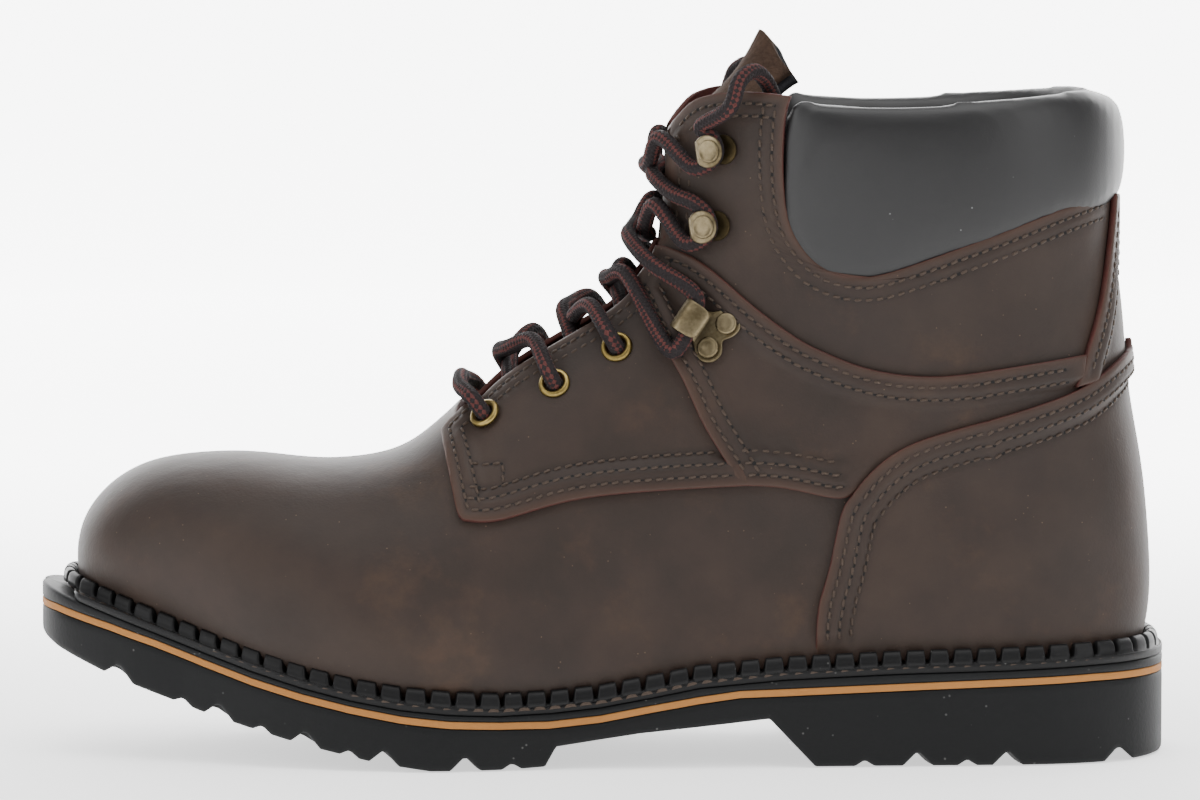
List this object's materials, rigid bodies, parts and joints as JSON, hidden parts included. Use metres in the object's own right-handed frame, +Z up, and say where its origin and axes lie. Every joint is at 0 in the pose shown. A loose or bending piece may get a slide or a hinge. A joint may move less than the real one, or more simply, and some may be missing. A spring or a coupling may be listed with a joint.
{
  "type": "work boot",
  "caption": "Left lace-up leather work boot with a steel toe cap, a padded collar, brass eyelets and hooks, and a lugged rubber sole; the tongue folds back and the footbed lifts.",
  "frame": {"origin": "centre of the sole's footprint, on the ground under the middle of the boot", "axes": "-X to the toe, +X to the heel, +Z up out of the shaft, -Y to the lateral (outer) side, +Y to the medial (inner) side"},
  "size_m": [0.3122, 0.1114, 0.1975],
  "materials": {
    "oiled_leather": "dark brown oiled nubuck, mottled, raw reddish brown cut edges",
    "collar_leather": "smooth dark grey satin leather",
    "lining_fabric": "dark grey lining",
    "black_rubber": "matte black rubber",
    "tan_rubber": "matte tan rubber",
    "antique_brass": "antique brass, satin",
    "steel": "pressed steel",
    "cork": "pressed cork granules",
    "insole_board": "cellulose board",
    "heel_board": "stiff fibre board",
    "foam": "open cell foam",
    "footbed_foam": "cloth covered foam",
    "lace_braid": "round black braid with burgundy flecks",
    "aglet_plastic": "black plastic"
  },
  "bodies": {
    "boot": {"vamp": "oiled_leather", "quarter_front_lateral": "oiled_leather", "quarter_front_medial": "oiled_leather", "quarter_mid_lateral": "oiled_leather", "quarter_mid_medial": "oiled_leather", "shaft_panel_lateral": "oiled_leather", "shaft_panel_medial": "oiled_leather", "back_stay": "oiled_leather", "heel_foxing": "oiled_leather", "facing_stay_lateral": "oiled_leather", "facing_stay_medial": "oiled_leather", "collar_cover": "collar_leather", "vamp_lining": "lining_fabric", "quarter_lining": "lining_fabric", "outsole": "black_rubber", "midsole_black": "black_rubber", "welt": "black_rubber", "toe_cap_trim": "black_rubber", "midsole_tan": "tan_rubber", "eyelet_lateral_1": "antique_brass", "eyelet_lateral_2": "antique_brass", "eyelet_lateral_3": "antique_brass", "eyelet_medial_1": "antique_brass", "eyelet_medial_2": "antique_brass", "eyelet_medial_3": "antique_brass", "hook_lateral_1": "antique_brass", "hook_lateral_2": "antique_brass", "hook_lateral_3": "antique_brass", "hook_medial_1": "antique_brass", "hook_medial_2": "antique_brass", "hook_medial_3": "antique_brass", "rivet_lateral_1": "antique_brass", "rivet_lateral_2": "antique_brass", "rivet_medial_1": "antique_brass", "rivet_medial_2": "antique_brass", "toe_cap": "steel", "shank": "steel", "cork_filler": "cork", "insole_board": "insole_board", "heel_counter": "heel_board", "collar_foam": "foam", "lace": "lace_braid", "aglet_lateral": "aglet_plastic", "aglet_medial": "aglet_plastic"},
    "tongue": {"tongue": "oiled_leather", "tongue_lining": "lining_fabric"},
    "footbed": {"footbed": "footbed_foam"}
  },
  "joints": [
    {"name": "tongue_fold", "type": "hinge", "parent": "boot", "child": "tongue", "pos_m": [-0.0369, 0.00105, 0.086], "axis": [0, 1, 0], "range_deg": [0, 10]},
    {"name": "footbed_lift", "type": "hinge", "parent": "boot", "child": "footbed", "pos_m": [-0.1348, 0.00105, 0.047], "axis": [0, -1, 0], "range_deg": [0, 6]}
  ]
}
